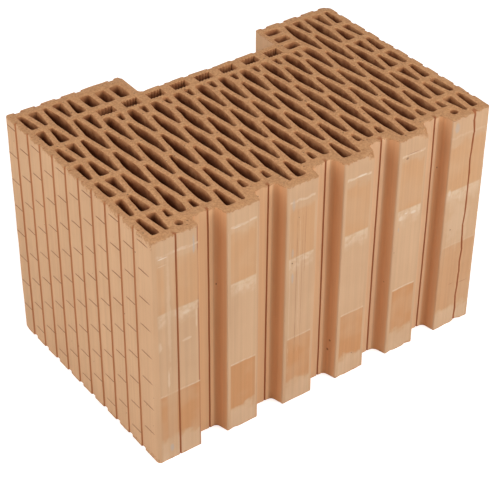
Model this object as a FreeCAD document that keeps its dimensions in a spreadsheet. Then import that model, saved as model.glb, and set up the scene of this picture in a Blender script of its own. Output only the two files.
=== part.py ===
import FreeCAD, Part
import math
import os
import Sketcher

# Hollow clay block for a single-leaf wall: one extruded and fired piece, in millimetres.
# X runs through the wall, along the tongues and grooves of the front face (-Y).
# Y runs along the wall, towards the mortar pocket in the back face (+Y).
# Z runs up along the holes.  The origin is the middle of the bed that the block stands on.

SIZES = [
    ("block_length", "380", "through the wall, over the furrowed end faces"),
    ("block_width", "248", "along the wall, from tongue faces to back face"),
    ("block_height", "249", "from bed to bed, ground flat"),
    ("corner_radius", "4", "upright corners of the block and of its pocket"),
    ("end_shell", "7.6", "wall between an end face and the outer holes"),
    ("face_shell", "9.6", "wall between front or back face and the holes"),
    ("web", "5", "slanting wall between neighbouring columns of holes"),
    ("row_web", "6.4", "wall between the holes of one column"),
    ("tip_width", "4", "width of a hole at its rounded tip"),
    ("tip_rise", "1.2", "how far a tip bulges past its two corners"),
    ("groove_depth", "14", "front groove, from tongue face to floor"),
    ("groove_floor", "16.6", "width of a groove on its floor"),
    ("groove_lean", "7", "sideways run of a groove flank"),
    ("tongue_round", "6", "rounding of the tongue edges"),
    ("groove_round", "5", "rounding of the corners of a groove floor"),
    ("front_wall", "10", "wall between a groove floor and the holes"),
    ("line_width", "1.9", "mouth of a fine upright line in the front face"),
    ("line_depth", "1.3", "depth of a fine upright line"),
    ("line_inset", "4.3", "from a groove flank to the line in its floor"),
    ("left_line", "24", "from the left end face to the line in its corner tongue"),
    ("right_line", "20", "from the right end face to the line in its corner tongue"),
    ("bore_diameter", "7.5", "round hole in each corner tongue"),
    ("bore_shell", "8.5", "wall between tongue face and round hole"),
    ("pocket_width", "160", "mortar pocket in the back face"),
    ("pocket_shift", "16", "middle of the pocket from the middle of the block"),
    ("pocket_depth", "35.5", "mortar pocket, from back face to floor"),
    ("pocket_wall", "5.5", "wall between pocket floor and toothed holes"),
    ("comb_height", "12.5", "toothed holes, across the wall"),
    ("comb_gap", "10", "wall between two toothed holes"),
    ("comb_margin", "3.5", "from the last toothed hole to the pocket's side"),
    ("comb_rib", "4", "wall between toothed holes and lattice"),
    ("tooth_depth", "1.8", "teeth on the long sides of the toothed holes"),
    ("arm_web", "5.5", "walls between the square holes of the left arm"),
    ("arm_shell", "12.4", "wall between back face and those square holes"),
    ("furrow_width", "6.6", "mouth of a furrow between two strips"),
    ("furrow_floor", "5.4", "width of a furrow on its floor"),
    ("furrow_depth", "1.6", "how deep a furrow of an end face or the pocket lies below the strips"),
    ("arm_furrow_depth", "2.2", "how deep a furrow of a back arm lies below the strips"),
    ("end_margin_back", "21.8", "first furrow of an end face from the back"),
    ("end_margin_front", "26.5", "last furrow of an end face from the front"),
    ("left_margin", "13", "outer furrow of the left back arm from the end face"),
    ("right_margin", "16", "outer furrow of the right back arm from the end face"),
    ("pocket_margin", "11.2", "inner furrow of a back arm from the side of the pocket"),
    ("arm_furrow_pitch", "21.7", "from furrow to furrow of the left back arm"),
]

# The lattice has 25 columns of long diamond holes, with two more columns of short holes at each
# end, and 7 rows, with the row webs numbered 1 to 6 from the back to the front.
COLUMNS = 25
LAST = COLUMNS - 1
MIDDLE = LAST // 2
ROWS = 7
END_COLUMNS = MIDDLE + 2.25
TONGUE_COLUMNS = 5
GROOVES = 5
FIRST_GROOVE = MIDDLE - TONGUE_COLUMNS * (GROOVES // 2)
COMB_CELLS = 8
TEETH = 5
ARM_CELLS = 3
END_FURROWS = 10
LEFT_FURROWS = 4
RIGHT_FURROWS = 4
FLOOR_FURROWS = 5
FLOOR_FURROW_FROM = 3

# Sizes worked out from the ones above.
DERIVED = [
    ("half_length", "Sizes.block_length / 2"),
    ("half_width", "Sizes.block_width / 2"),
    ("cell_end", "Lattice.half_length - Sizes.end_shell"),
    ("cell_limit", "Lattice.half_width - Sizes.face_shell"),
    ("pitch", f"Lattice.cell_end / {END_COLUMNS}"),
    ("row", f"(2 * Lattice.cell_limit + Sizes.row_web) / {ROWS}"),
    ("half_web", "Sizes.row_web / 2"),
    ("waist", "Lattice.pitch - Sizes.web - Sizes.tip_width / 2"),
    ("tip", "Sizes.tip_width / 2"),
    ("hole_end", "Lattice.row - Lattice.half_web"),
    ("run", "Lattice.hole_end - Sizes.tip_rise"),
    ("tip_radius", "(Lattice.tip ^ 2 + Sizes.tip_rise ^ 2) / (2 * Sizes.tip_rise)"),
    ("tip_centre", "Lattice.hole_end - Lattice.tip_radius"),
    ("lean", "(Lattice.waist - Lattice.tip) / Lattice.run"),
    ("groove_bed", "Lattice.half_width - Sizes.groove_depth"),
    ("front_cut", "Lattice.groove_bed - Sizes.front_wall"),
    ("pocket_left", "Sizes.pocket_shift - Sizes.pocket_width / 2"),
    ("pocket_right", "Sizes.pocket_shift + Sizes.pocket_width / 2"),
    ("pocket_floor", "Lattice.half_width - Sizes.pocket_depth"),
    ("comb_top", "Lattice.pocket_floor - Sizes.pocket_wall"),
    ("comb_low", "Lattice.comb_top - Sizes.comb_height"),
    ("back_cut", "Lattice.comb_low - Sizes.comb_rib"),
    ("comb_left", f"Lattice.pitch * {2 - MIDDLE} + Lattice.waist + Sizes.web"),
    ("comb_right", "Lattice.pocket_right - Sizes.comb_margin"),
    ("comb_pitch", f"(Lattice.comb_right - Lattice.comb_left + Sizes.comb_gap) / {COMB_CELLS}"),
    ("comb_width", "Lattice.comb_pitch - Sizes.comb_gap"),
    ("left_end", "Lattice.pocket_left - Sizes.face_shell"),
    ("left_pitch", f"(Lattice.left_end - Lattice.comb_left + Sizes.arm_web) / {ARM_CELLS}"),
    ("left_low", "Lattice.comb_top + Sizes.row_web"),
    ("left_high", "Lattice.half_width - Sizes.arm_shell"),
    ("right_start", "Lattice.pocket_right + Sizes.web"),
    ("right_end", f"Lattice.pitch * {LAST - 2 - MIDDLE} - Lattice.waist - Sizes.web"),
    ("right_low", "Lattice.back_cut + Sizes.web"),
    ("right_pitch", f"(Lattice.cell_limit - Lattice.right_low + Sizes.row_web) / {ARM_CELLS}"),
    ("bore_line", "Lattice.half_width - Sizes.bore_shell - Sizes.bore_diameter / 2"),
    ("end_back", "Lattice.half_width - Sizes.end_margin_back"),
    ("end_front", "Sizes.end_margin_front - Lattice.half_width"),
    ("end_pitch", f"(Lattice.end_back - Lattice.end_front) / {END_FURROWS - 1}"),
    ("right_first", "Lattice.pocket_right + Sizes.pocket_margin"),
    ("right_last", "Lattice.half_length - Sizes.right_margin"),
    ("right_furrow", f"(Lattice.right_last - Lattice.right_first) / {RIGHT_FURROWS - 1}"),
]

# How far a cut reaches past the face that it opens.
PAST = 1

# Lengths closer than this are taken as equal.
CLOSE = 1e-6

doc = FreeCAD.newDocument("clay_block")
sheet = doc.addObject("Spreadsheet::Sheet", "Sizes")
for line, (alias, number, meaning) in enumerate(SIZES, start=1):
    sheet.set(f"A{line}", alias)
    sheet.set(f"B{line}", number)
    sheet.setAlias(f"B{line}", alias)
    sheet.set(f"C{line}", meaning)
doc.recompute()

lattice = doc.addObject("App::VarSet", "Lattice")
for name, expression in DERIVED:
    lattice.addProperty("App::PropertyFloat", name)
    lattice.setExpression(name, expression)
    doc.recompute()

body = doc.addObject("PartDesign::Body", "Column")
body.Label = "clay_column"
holes = []


def worked_out(expression):
    """The number that an expression gives with the present sizes."""
    return float(sheet.evalExpression(expression))


def origin_feature(role):
    """The plane or axis of the body's origin that has this role."""
    for feature in body.Origin.OriginFeatures:
        if feature.Role == role:
            return feature
    raise ValueError(f"no origin feature {role}")


def body_sketch(name):
    """An empty sketch on the bed of the clay column."""
    sketch = body.newObject("Sketcher::SketchObject", name)
    sketch.AttachmentSupport = [(origin_feature("XY_Plane"), "")]
    sketch.MapMode = "FlatFace"
    return sketch


def draw(sketch, corners):
    """A closed outline, drawn counter-clockwise, with every corner bound to its expressions.

    A corner is (x, y), or (x, y, centre) where an arc about that height leads to the next one.
    """
    places = []
    for corner in corners:
        places.append(FreeCAD.Vector(worked_out(corner[0]), worked_out(corner[1]), 0))
    first = sketch.GeometryCount
    rules = []
    bindings = []
    for step, corner in enumerate(corners):
        start = places[step]
        end = places[(step + 1) % len(corners)]
        piece = first + step
        after = first + (step + 1) % len(corners)
        if len(corner) == 3:
            centre = FreeCAD.Vector((start.x + end.x) / 2, worked_out(corner[2]), 0)
            circle = Part.Circle(centre, FreeCAD.Vector(0, 0, 1), (start - centre).Length)
            turn_from = math.atan2(start.y - centre.y, start.x - centre.x)
            turn_to = math.atan2(end.y - centre.y, end.x - centre.x)
            if turn_to < turn_from:
                turn_to += 2 * math.pi
            sketch.addGeometry(Part.ArcOfCircle(circle, turn_from, turn_to))
            rules.append(Sketcher.Constraint("DistanceY", -1, 1, piece, 3, centre.y))
            bindings.append(corner[2])
        else:
            sketch.addGeometry(Part.LineSegment(start, end))
        rules.append(Sketcher.Constraint("Coincident", piece, 2, after, 1))
        bindings.append(None)
        rules.append(Sketcher.Constraint("DistanceX", -1, 1, piece, 1, start.x))
        bindings.append(corner[0])
        rules.append(Sketcher.Constraint("DistanceY", -1, 1, piece, 1, start.y))
        bindings.append(corner[1])
    numbers = sketch.addConstraint(rules)
    for number, expression in zip(numbers, bindings):
        if expression is not None:
            sketch.setExpression(f"Constraints[{number}]", expression)


def cut(sketch):
    """Cuts a sketch of the clay column through its whole height."""
    doc.recompute()
    before = body.Shape.Volume
    pocket = body.newObject("PartDesign::Pocket", sketch.Name + "_cut")
    pocket.Profile = sketch
    pocket.Type = "ThroughAll"
    pocket.Reversed = True
    doc.recompute()
    if body.Shape.Volume >= before:
        raise RuntimeError(f"{sketch.Name} cuts nothing")
    return pocket


def repeat(feature, axis, count, spacing, backwards=False):
    """A row of copies of a cut along one axis of the clay column."""
    row = body.newObject("PartDesign::LinearPattern", feature.Name + "_row")
    row.Originals = [feature]
    row.Direction = (origin_feature(axis), [""])
    row.Reversed = backwards
    row.Mode = "Spacing"
    row.Occurrences = count
    row.setExpression("Offset", spacing)
    body.Tip = row


def notch(sketch, middle, face, outward, steps, upright=False):
    """A notch in a face: steps are (half width, depth) pairs from its mouth down to its bottom.

    face is the face's place and outward its side; upright says that the face looks along X.
    """
    mouth = steps[0][0]
    past = f"{face} + {outward * PAST}"
    ring = [(f"{middle} - {mouth}", past)]
    for half, depth in steps:
        ring.append((f"{middle} - {half}", f"{face} - {outward} * ({depth})"))
    for half, depth in steps[::-1]:
        if half != "0":
            ring.append((f"{middle} + {half}", f"{face} - {outward} * ({depth})"))
    ring.append((f"{middle} + {mouth}", past))
    if upright:
        ring = [(level, place) for place, level in ring]
    draw(sketch, ring)


FURROW = [
    ("Sizes.furrow_width / 2", "0"),
    ("Sizes.furrow_floor / 2", "Sizes.furrow_depth"),
]
ARM_FURROW = [
    ("Sizes.furrow_width / 2", "0"),
    ("Sizes.furrow_floor / 2", "Sizes.arm_furrow_depth"),
]
FINE_LINE = [
    ("Sizes.line_width / 2", "0"),
    ("0", "Sizes.line_depth"),
]


def round_uprights(name, radius, wanted):
    """Rounds the edges along Z of the clay column whose place passes the test."""
    doc.recompute()
    base = body.Tip
    names = []
    for number, edge in enumerate(base.Shape.Edges, start=1):
        low = edge.Vertexes[0].Point
        high = edge.Vertexes[-1].Point
        upright = abs(low.x - high.x) + abs(low.y - high.y) < CLOSE
        if upright and wanted(low.x, low.y):
            names.append(f"Edge{number}")
    fillet = body.newObject("PartDesign::Fillet", name)
    fillet.Base = (base, names)
    fillet.setExpression("Radius", radius)
    body.Tip = fillet


def along(column):
    """The middle line of a column of holes."""
    return f"(Lattice.pitch * {column - MIDDLE})"


def across(web):
    """The middle line of a row web."""
    return f"(Lattice.row * {ROWS / 2 - web})"


def hole_outline(name, corners):
    """A sketch of one kind of hole, about the point that its places name."""
    sketch = doc.addObject("Sketcher::SketchObject", name)
    draw(sketch, corners)
    return sketch


def place(outline, x, y):
    """One hole with this outline at a place of the section."""
    hole = doc.addObject("App::Link", f"{outline.Name}_at")
    hole.LinkedObject = outline
    hole.setExpression("Placement.Base.x", x)
    hole.setExpression("Placement.Base.y", y)
    holes.append(hole)


def place_row(outline, count, x, y, step_x="0", step_y="0"):
    """Evenly spaced holes with this outline."""
    for number in range(count):
        place(outline, f"{x} + {number} * {step_x}", f"{y} + {number} * {step_y}")


def reach(offset):
    """Half the width of a diamond hole at a distance from its waist."""
    return f"(Lattice.waist - Lattice.lean * abs({offset}))"


def diamond(name, low=None, high=None):
    """A diamond hole about the middle of its waist, with round tips, or cut square at low or high."""
    corners = []
    if low is None:
        corners.append(("-Lattice.tip", "-Lattice.run", "-Lattice.tip_centre"))
        corners.append(("Lattice.tip", "-Lattice.run"))
    else:
        corners.append((f"-{reach(low)}", low))
        corners.append((reach(low), low))
    has_waist = (low is None or worked_out(low) < 0) and (high is None or worked_out(high) > 0)
    if has_waist:
        corners.append(("Lattice.waist", "0"))
    if high is None:
        corners.append(("Lattice.tip", "Lattice.run", "Lattice.tip_centre"))
        corners.append(("-Lattice.tip", "Lattice.run"))
    else:
        corners.append((reach(high), high))
        corners.append((f"-{reach(high)}", high))
    if has_waist:
        corners.append(("-Lattice.waist", "0"))
    return hole_outline(name, corners)


def end_cell(name, side, tip_side):
    """The outermost hole of a row, about its column's waist: one side follows the end face."""
    outer = f"{side} * Lattice.pitch * {END_COLUMNS - MIDDLE - 2}"
    wide = (f"{-side} * {reach('Lattice.half_web')}", f"{tip_side} * Lattice.half_web")
    narrow = (f"{-side} * Lattice.tip", f"{tip_side} * Lattice.hole_end")
    return hole_outline(name, [(outer, wide[1]), wide, narrow, (outer, narrow[1])])


def box_outline(name, width, height):
    """A square-cornered hole about its lower left corner."""
    return hole_outline(name, [("0", "0"), (width, "0"), (width, height), ("0", height)])


def comb_outline(name):
    """A hole about its lower left corner, with pointed teeth on both long sides."""
    low_side = []
    high_side = []
    for step in range(2 * TEETH + 1):
        x = f"Lattice.comb_width * {step} / {2 * TEETH}"
        depth = f"Sizes.tooth_depth * {step % 2}"
        low_side.append((x, depth))
        high_side.append((x, f"Sizes.comb_height - {depth}"))
    return hole_outline(name, low_side + high_side[::-1])


def bore_outline(name):
    """A round hole about its middle."""
    sketch = doc.addObject("Sketcher::SketchObject", name)
    middle = FreeCAD.Vector(0, 0, 0)
    diameter = worked_out("Sizes.bore_diameter")
    ring = sketch.addGeometry(Part.Circle(middle, FreeCAD.Vector(0, 0, 1), diameter / 2))
    sketch.addConstraint(Sketcher.Constraint("Coincident", ring, 3, -1, 1))
    rule = sketch.addConstraint(Sketcher.Constraint("Diameter", ring, diameter))
    sketch.setExpression(f"Constraints[{rule}]", "Sizes.bore_diameter")
    return sketch


def clay_column():
    """The extruded column without its holes."""
    sketch = body_sketch("outline")
    draw(sketch, [
        ("-Lattice.half_length", "-Lattice.half_width"),
        ("Lattice.half_length", "-Lattice.half_width"),
        ("Lattice.half_length", "Lattice.half_width"),
        ("-Lattice.half_length", "Lattice.half_width"),
    ])
    pad = body.newObject("PartDesign::Pad", "extrusion")
    pad.Profile = sketch
    pad.setExpression("Length", "Sizes.block_height")


def tongues_and_pocket():
    """Grooves between the tongues of the front face, the mortar pocket, and rounded edges."""
    middle = along(FIRST_GROOVE)
    floor = "Sizes.groove_floor / 2"
    mouth = f"({floor} + Sizes.groove_lean)"
    sketch = body_sketch("groove")
    draw(sketch, [
        (f"{middle} - {mouth}", f"-Lattice.half_width - {PAST}"),
        (f"{middle} + {mouth}", f"-Lattice.half_width - {PAST}"),
        (f"{middle} + {mouth}", "-Lattice.half_width"),
        (f"{middle} + {floor}", "-Lattice.groove_bed"),
        (f"{middle} - {floor}", "-Lattice.groove_bed"),
        (f"{middle} - {mouth}", "-Lattice.half_width"),
    ])
    repeat(cut(sketch), "X_Axis", GROOVES, f"Lattice.pitch * {TONGUE_COLUMNS}")

    sketch = body_sketch("pocket")
    draw(sketch, [
        ("Lattice.pocket_left", "Lattice.pocket_floor"),
        ("Lattice.pocket_right", "Lattice.pocket_floor"),
        ("Lattice.pocket_right", f"Lattice.half_width + {PAST}"),
        ("Lattice.pocket_left", f"Lattice.half_width + {PAST}"),
    ])
    cut(sketch)

    end = worked_out("Lattice.half_length") - CLOSE
    front = worked_out("Lattice.half_width")
    floor_line = worked_out("Lattice.groove_bed")
    pocket_floor = worked_out("Lattice.pocket_floor") - CLOSE
    for name, radius, wanted in (
        ("tongue_edges", "Sizes.tongue_round", lambda x, y: abs(y + front) < CLOSE and abs(x) < end),
        ("groove_corners", "Sizes.groove_round", lambda x, y: abs(y + floor_line) < CLOSE),
        ("corners", "Sizes.corner_radius", lambda x, y: y > pocket_floor or abs(x) > end),
    ):
        round_uprights(name, radius, wanted)


def furrows_and_lines():
    """Furrows between the strips of the rough faces, and fine lines in the front face."""
    sketch = body_sketch("end_furrow")
    for side in (-1, 1):
        notch(sketch, "Lattice.end_back", f"{side} * Lattice.half_length", side, FURROW, upright=True)
    repeat(cut(sketch), "Y_Axis", END_FURROWS, "Lattice.end_pitch", backwards=True)

    left_first = "(Sizes.left_margin - Lattice.half_length)"
    left_last = "(Lattice.pocket_left - Sizes.pocket_margin)"
    floor_first = f"(Lattice.comb_left + Lattice.comb_pitch * {FLOOR_FURROW_FROM} - Sizes.comb_gap / 2)"
    for name, first, count, spacing in (
        ("left_arm_furrow", left_first, LEFT_FURROWS, "Sizes.arm_furrow_pitch"),
        ("right_arm_furrow", "Lattice.right_first", RIGHT_FURROWS, "Lattice.right_furrow"),
    ):
        sketch = body_sketch(name)
        notch(sketch, first, "Lattice.half_width", 1, ARM_FURROW)
        repeat(cut(sketch), "X_Axis", count, spacing)
    sketch = body_sketch("left_last_furrow")
    notch(sketch, left_last, "Lattice.half_width", 1, ARM_FURROW)
    cut(sketch)
    sketch = body_sketch("floor_furrow")
    notch(sketch, floor_first, "Lattice.pocket_floor", 1, FURROW)
    repeat(cut(sketch), "X_Axis", FLOOR_FURROWS, "Lattice.comb_pitch")

    sketch = body_sketch("groove_line")
    middle = f"({along(FIRST_GROOVE)} + Sizes.groove_floor / 2 - Sizes.line_inset)"
    notch(sketch, middle, "-Lattice.groove_bed", -1, FINE_LINE)
    repeat(cut(sketch), "X_Axis", GROOVES, f"Lattice.pitch * {TONGUE_COLUMNS}")

    sketch = body_sketch("corner_line")
    for side, inset in ((-1, "Sizes.left_line"), (1, "Sizes.right_line")):
        middle = f"({side} * (Lattice.half_length - {inset}))"
        notch(sketch, middle, "-Lattice.half_width", -1, FINE_LINE)
    cut(sketch)


def lattice_holes():
    """Diamond holes: even columns have their waists on odd row webs, odd columns on even ones."""
    whole = diamond("diamond")
    for column in range(COLUMNS):
        for web in range(3 + column % 2, ROWS - 1, 2):
            place(whole, along(column), across(web))
    for column, web in ((0, 1), (LAST - 2, 1), (LAST, 1), (1, 2), (LAST - 1, 2)):
        place(whole, along(column), across(web))

    cut_long = diamond("front_diamond", low=f"-Lattice.front_cut - {across(ROWS - 1)}")
    cut_short = diamond("front_tip", low=f"-Lattice.front_cut - {across(ROWS)}")
    tongue_short = diamond("tongue_tip", low=f"-Lattice.cell_limit - {across(ROWS)}")
    for column in range(COLUMNS):
        in_tongue = 0 < column < LAST and column % TONGUE_COLUMNS in (0, TONGUE_COLUMNS - 1)
        if column % 2:
            place(whole if in_tongue else cut_long, along(column), across(ROWS - 1))
        else:
            place(tongue_short if in_tongue else cut_short, along(column), across(ROWS))

    back_long = diamond("back_diamond", high=f"Lattice.back_cut - {across(2)}")
    back_short = diamond("back_tip", high=f"Lattice.back_cut - {across(1)}")
    for column in range(3, LAST - 2):
        if column % 2:
            place(back_long, along(column), across(2))
        else:
            place(back_short, along(column), across(1))


def row_holes():
    """Half diamonds of the two columns at each end and of the arms, one in each row."""
    tip_up = diamond("half_up", low="Lattice.half_web")
    tip_down = diamond("half_down", high="-Lattice.half_web")
    ends = {}
    for side in (-1, 1):
        ends[side, 1] = end_cell("end_up", side, 1)
        ends[side, -1] = end_cell("end_down", side, -1)
    for row in range(1, ROWS + 1):
        odd_web = row - row % 2
        even_web = row - 1 + row % 2
        for side, inner, outer in ((-1, -1, -2), (1, LAST + 1, LAST + 2)):
            place(tip_up if odd_web == row else tip_down, along(inner), across(odd_web))
            place(ends[side, 1 if even_web == row else -1], along(outer), across(even_web))
    place(tip_down, along(1), across(0))
    place(tip_down, along(LAST - 1), across(0))
    place(tip_up, along(2), across(1))
    place(tip_down, along(2), across(1))


def arm_and_comb_holes():
    """Square holes of the arms, toothed holes behind the pocket, round holes in the corner tongues."""
    width = "Lattice.left_pitch - Sizes.arm_web"
    cell = box_outline("left_arm_cell", width, "Lattice.left_high - Lattice.left_low")
    place_row(cell, ARM_CELLS, "Lattice.comb_left", "Lattice.left_low", step_x="Lattice.left_pitch")
    width = "Lattice.right_end - Lattice.right_start"
    cell = box_outline("right_arm_cell", width, "Lattice.right_pitch - Sizes.row_web")
    place_row(cell, ARM_CELLS, "Lattice.right_start", "Lattice.right_low", step_y="Lattice.right_pitch")
    toothed = comb_outline("comb_cell")
    place_row(toothed, COMB_CELLS, "Lattice.comb_left", "Lattice.comb_low", step_x="Lattice.comb_pitch")
    bore = bore_outline("bore")
    place(bore, along(0), "-Lattice.bore_line")
    place(bore, along(LAST), "-Lattice.bore_line")


def pierced_block():
    """The clay column with all its holes cut through it."""
    section = doc.addObject("Part::Compound", "hole_outlines")
    section.Links = holes
    cores = doc.addObject("Part::Extrusion", "hole_cores")
    cores.Base = section
    cores.DirMode = "Custom"
    cores.Dir = FreeCAD.Vector(0, 0, 1)
    cores.Solid = True
    cores.setExpression("LengthFwd", f"Sizes.block_height + {PAST}")
    cores.LengthRev = PAST
    block = doc.addObject("Part::Cut", "Block")
    block.Label = "clay_block"
    block.Base = body
    block.Tool = cores
    doc.recompute()
    if len(cores.Shape.Solids) != len(holes):
        raise RuntimeError("some holes run into each other")
    return block


def check(block):
    """Stops unless every step worked and the block is one valid solid."""
    for item in doc.Objects:
        if "Invalid" in item.State or "Error" in item.State:
            raise RuntimeError(f"{item.Name} failed: {item.State}")
    shape = block.Shape
    if shape.isNull() or not shape.isValid() or len(shape.Solids) != 1:
        raise RuntimeError("the block is not one valid solid")


clay_column()
tongues_and_pocket()
furrows_and_lines()
lattice_holes()
row_holes()
arm_and_comb_holes()
block = pierced_block()
check(block)

os.makedirs("parts", exist_ok=True)
block.Shape.Solids[0].exportStep(os.path.join("parts", block.Label + ".step"))
box = block.Shape.BoundBox
print(f"{block.Label}: {box.XLength:.2f} x {box.YLength:.2f} x {box.ZLength:.2f} mm, "
      f"{block.Shape.Volume / 1e6:.4f} dm3, {len(holes)} holes")
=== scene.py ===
import math

import bpy
import numpy as np
from mathutils import Matrix, Vector
from mathutils.geometry import delaunay_2d_cdt


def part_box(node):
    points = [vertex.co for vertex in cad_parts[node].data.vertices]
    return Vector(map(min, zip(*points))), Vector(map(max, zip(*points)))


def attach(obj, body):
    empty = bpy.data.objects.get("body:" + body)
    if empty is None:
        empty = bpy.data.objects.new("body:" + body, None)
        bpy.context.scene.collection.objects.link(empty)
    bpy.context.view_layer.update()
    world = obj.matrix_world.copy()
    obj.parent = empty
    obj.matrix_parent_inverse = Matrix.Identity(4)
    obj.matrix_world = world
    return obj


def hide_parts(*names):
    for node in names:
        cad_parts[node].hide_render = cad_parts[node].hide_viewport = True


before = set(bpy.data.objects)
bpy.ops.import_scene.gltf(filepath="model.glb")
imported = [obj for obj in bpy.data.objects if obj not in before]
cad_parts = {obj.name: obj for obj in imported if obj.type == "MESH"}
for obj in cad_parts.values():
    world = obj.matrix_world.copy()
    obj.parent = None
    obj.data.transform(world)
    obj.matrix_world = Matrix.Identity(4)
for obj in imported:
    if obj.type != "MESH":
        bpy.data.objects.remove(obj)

bl_info = {
    "name": "Hollow Clay Block",
    "version": (1, 0, 0),
    "blender": (4, 5, 0),
    "location": "View3D > Sidebar > Clay Block",
    "description": "Fired clay skin, finish and studio for a hollow clay block",
    "category": "Add Mesh",
}

NODE = "clay_block"
BODY = "root"
LOW, HIGH = (np.array(corner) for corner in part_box(NODE))
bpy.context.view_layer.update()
HEIGHT = float(HIGH[2] - LOW[2])
MIDDLE = Vector((LOW + HIGH) / 2)

# Two places closer than this are one place, and a millimetre, both in metres.
CLOSE = 1e-6
MM = 0.001

# Furrows of an end face, and grooves of the front.
FURROWS = 10
GROOVES = 5

# A corner of a ring that turns by more than this is sharp, or by the lesser turn between long sides.
SHARP = math.radians(28)
BEND = math.radians(8)

# A side is long past this many cuts of its corners. A wall of a furrow or line is shorter than this.
LONG_SIDE = 4
FURROW_WALL = 3 * MM

# The largest share of a side that the cut of a corner takes, in the outline and in the holes.
WALL_SHARE = 0.2
HOLE_SHARE = 0.28

# How many times the outward directions of the outline are evened out.
CALMING = 24

# A flank ends within this many half mouths of the middle of its groove.
GROOVE_REACH = 1.3

# The kind of triangulation that leaves the holes open, and the angle past which an edge looks sharp.
INSIDE_WITH_HOLES = 2
SHARP_EDGE = math.radians(38)

# Levels of an outer wall near a bed, and of the wall of a hole, from the bed inwards.
RIM_LEVELS = np.array([0, 0.15, 0.4, 0.8, 1.5, 2.6, 4.5, 8.0]) * MM
HOLE_LEVELS = np.array([0, 0.3, 1.0]) * MM

# Closer levels of the outer wall are one level.
LEVEL_GAP = 0.1 * MM

# Lengths of waves: outer rims, faces, bites, chips, hole rims, hole walls and webs.
RIM_WAVE = 18 * MM
FACE_WAVE = 30 * MM
BITE_WAVE = 11 * MM
CHIP_WAVE = 5 * MM
HOLE_RIM_WAVE = 13 * MM
TREMBLE_WAVE = 15 * MM
WEB_WAVE = 70 * MM

# The waves of hole walls and of webs are drawn out along Z by these scales.
TREMBLE_SCALE = np.array([1, 1, 0.12])
WEB_SCALE = np.array([1, 1, 0.15])

# The least and the most wear of an outer rim and of a hole's rim, as shares of the rim wear.
RIM_SWING = (-0.6, 1.5)
HOLE_SWING = (-0.8, 1.3)

# A bite is where its waves pass this level. Bites and chips get this much shallower away from the bed,
# and the depth of a chip varies by this share.
BITE_LEVEL = 0.9
BITE_SLOPE = 0.9
CHIP_SLOPE = 0.75
CHIP_ROUGHNESS = 0.3

# How far the faces dip, how deep inside the block the webs sway fully, and how far the look of a bed
# reaches down the outer wall and down the wall of a hole.
FACE_DIP = 0.12 * MM
SWAY_DEPTH = 12 * MM
BED_ON_WALL = 0.5 * MM
BED_IN_HOLE = 1.2 * MM

# A nick's depth rises over this length at both ends, and the faintest nick has this share of it.
NICK_END = 1.5 * MM
NICK_FAINTEST = 0.7

# The clay beside the torn line that wanders with it, to its sides and inwards, and the waves of its
# wander: share, length and seed.
CRACK_SIDE = 7 * MM
CRACK_DEPTH = 4 * MM
CRACK_WAVES = ((0.35, 60 * MM, 8), (0.5, 14 * MM, 9))

# Chips of the outer rims, in millimetres: X, Y, bed (1 upper, 0 lower), half width and depth.
CHIPS = (
    (46.5, -124, 1, 5.5, 4.5),
    (110, -124, 1, 6.5, 5.5),
    (104, -124, 1, 4, 2.2),
    (-19, -124, 1, 4, 1.8),
    (-84, -124, 0, 3.5, 1.8),
    (-108, -124, 0, 4, 2),
    (45, -124, 0, 4, 2.2),
    (20, -124, 0, 3.5, 2),
    (108, -124, 0, 5, 2.4),
    (84, -124, 0, 4, 2.4),
    (172, -124, 0, 7, 2.2),
    (-187, -122, 1, 5, 2.0),
    (188, 122, 1, 5, 2.6),
    (-190, 123, 0, 5, 2.4),
    (-62, 124, 1, 5, 2.4),
    (97, 124, 0, 6, 3.4),
)

# Spots on the front and in its grooves, in millimetres: middle along X and Z, half width, half height,
# and then colour and share.
SPOTS = (
    (-148, 232, 1.6, 12, "grey", 0.6),
    (-175, 13, 2.6, 6, "grey", 0.6),
    (-42, 229, 2, 9, "grey", 0.35),
    (-42, 176, 1.6, 7, "grey", 0.4),
    (-41.5, 149, 1.6, 8, "grey", 0.5),
    (84, 150, 1.2, 4, "grey", 0.5),
    (148.5, 240, 3.5, 8, "grey", 0.5),
    (-174.5, 170, 2.2, 75, "pale", 0.35),
    (-185, 135, 3, 7, "pale", 0.6),
    (-176.5, 93, 1.6, 14, "pale", 0.7),
    (-181, 222, 6, 0.7, "pale", 0.7),
    (-180, 229.5, 6, 0.9, "lime", 0.9),
    (-156, 163, 5, 2, "lime", 0.6),
    (-103, 230.2, 6, 0.9, "lime", 0.6),
    (36, 230, 7, 1, "lime", 0.8),
    (86, 162, 2.6, 3, "lime", 0.9),
    (92, 165.5, 3, 1.4, "lime", 0.8),
    (101, 164, 4, 2, "lime", 0.7),
    (146.5, 166, 2, 4, "lime", 0.8),
    (-146.5, 153, 1, 16, "pale", 0.7),
    (-155, 163, 9, 4, "pale", 0.6),
    (-157, 133, 6, 1.8, "pale", 0.6),
    (-34, 150, 0.5, 95, "pale", 0.5),
    (-44.5, 120, 0.6, 100, "pale", 0.45),
    (88, 162, 6, 4, "pale", 0.7),
    (160, 130, 17, 34, "pale", 0.3),
    (146, 167, 3, 5, "pale", 0.6),
    (-37, 130, 0.45, 110, "score_and_shade", 0.45),
    (-31, 125, 0.4, 115, "score_and_shade", 0.4),
    (-28, 190, 0.45, 55, "score_and_shade", 0.35),
    (96, 232, 13, 0.7, "score_and_shade", 0.6),
    (178, 49, 11, 0.7, "score_and_shade", 0.6),
    (160, 52, 4, 0.6, "score_and_shade", 0.4),
    (88.5, 228, 2, 1.5, "pit", 0.6),
    (-42, 165, 1.1, 1.1, "pit", 0.9),
    (-187, 111, 1.2, 1.2, "pit", 0.5),
    (-117, 168, 0.7, 1.5, "pit", 0.8),
    (13, 44, 0.3, 1.3, "pit", 0.7),
    (12.4, 32, 0.35, 1.4, "pit", 0.7),
    (139.5, 192, 0.6, 1.2, "pit", 0.7),
    (77, 87, 0.3, 1.1, "pit", 0.6),
)

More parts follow.
